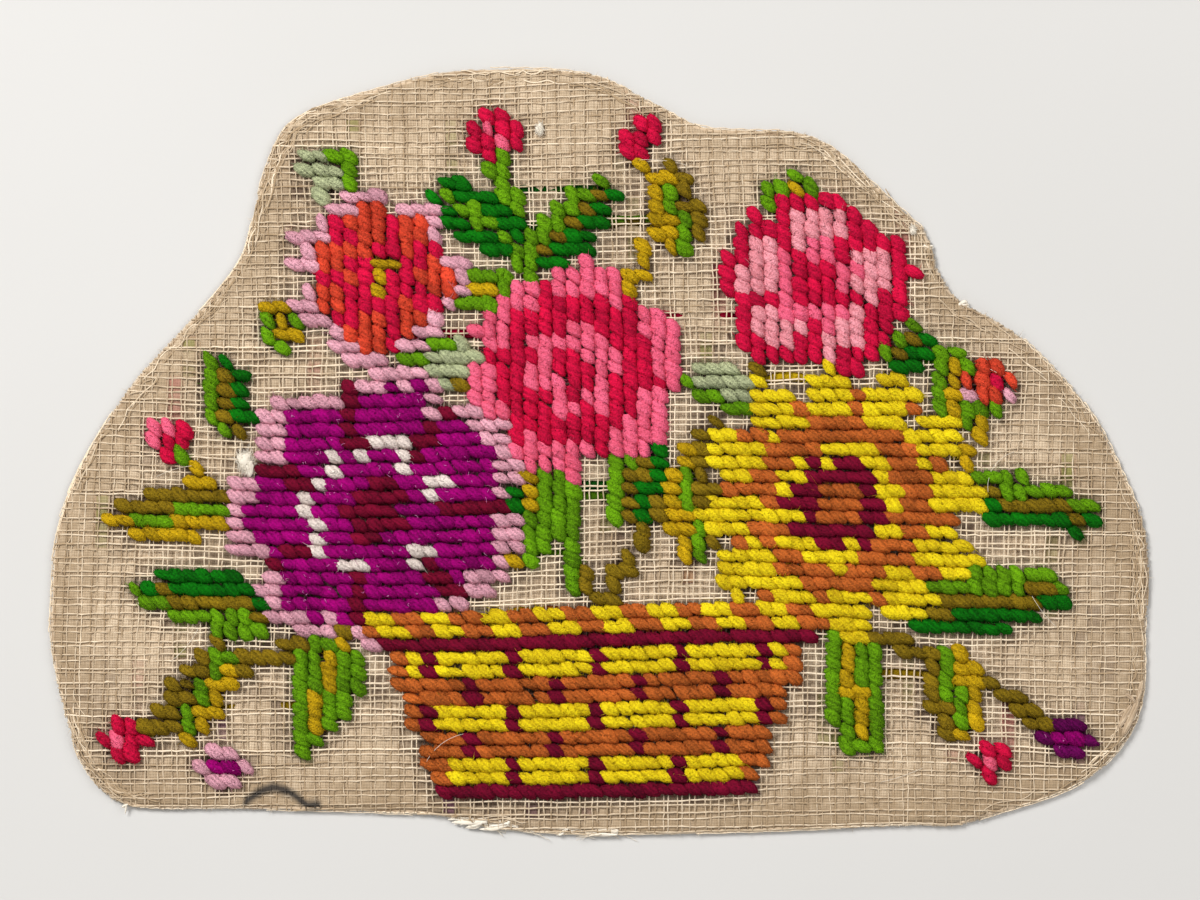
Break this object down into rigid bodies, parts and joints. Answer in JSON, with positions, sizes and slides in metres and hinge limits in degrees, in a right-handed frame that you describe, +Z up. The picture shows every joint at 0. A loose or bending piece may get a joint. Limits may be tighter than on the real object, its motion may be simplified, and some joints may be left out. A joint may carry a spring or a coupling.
{
  "type": "needlework sampler",
  "caption": "Small flat needlework sampler with a lobed outline: open double-thread canvas worked in coloured wool, its edge turned under and backed with plain cloth.",
  "frame": {"origin": "on the surface that the sampler lies on, below the middle of its box", "axes": "+X to the right across the worked face, +Y towards its top edge, +Z up out of the worked face"},
  "size_m": [0.2494, 0.174, 0.0034],
  "materials": {
    "backing": "matt unbleached plain weave",
    "canvas": "matt stiffened cotton threads, in pairs",
    "wool": "soft dyed wool in many colours"
  },
  "bodies": {
    "root": {"backing_cloth": "backing", "canvas_panel": "canvas"}
  },
  "joints": []
}
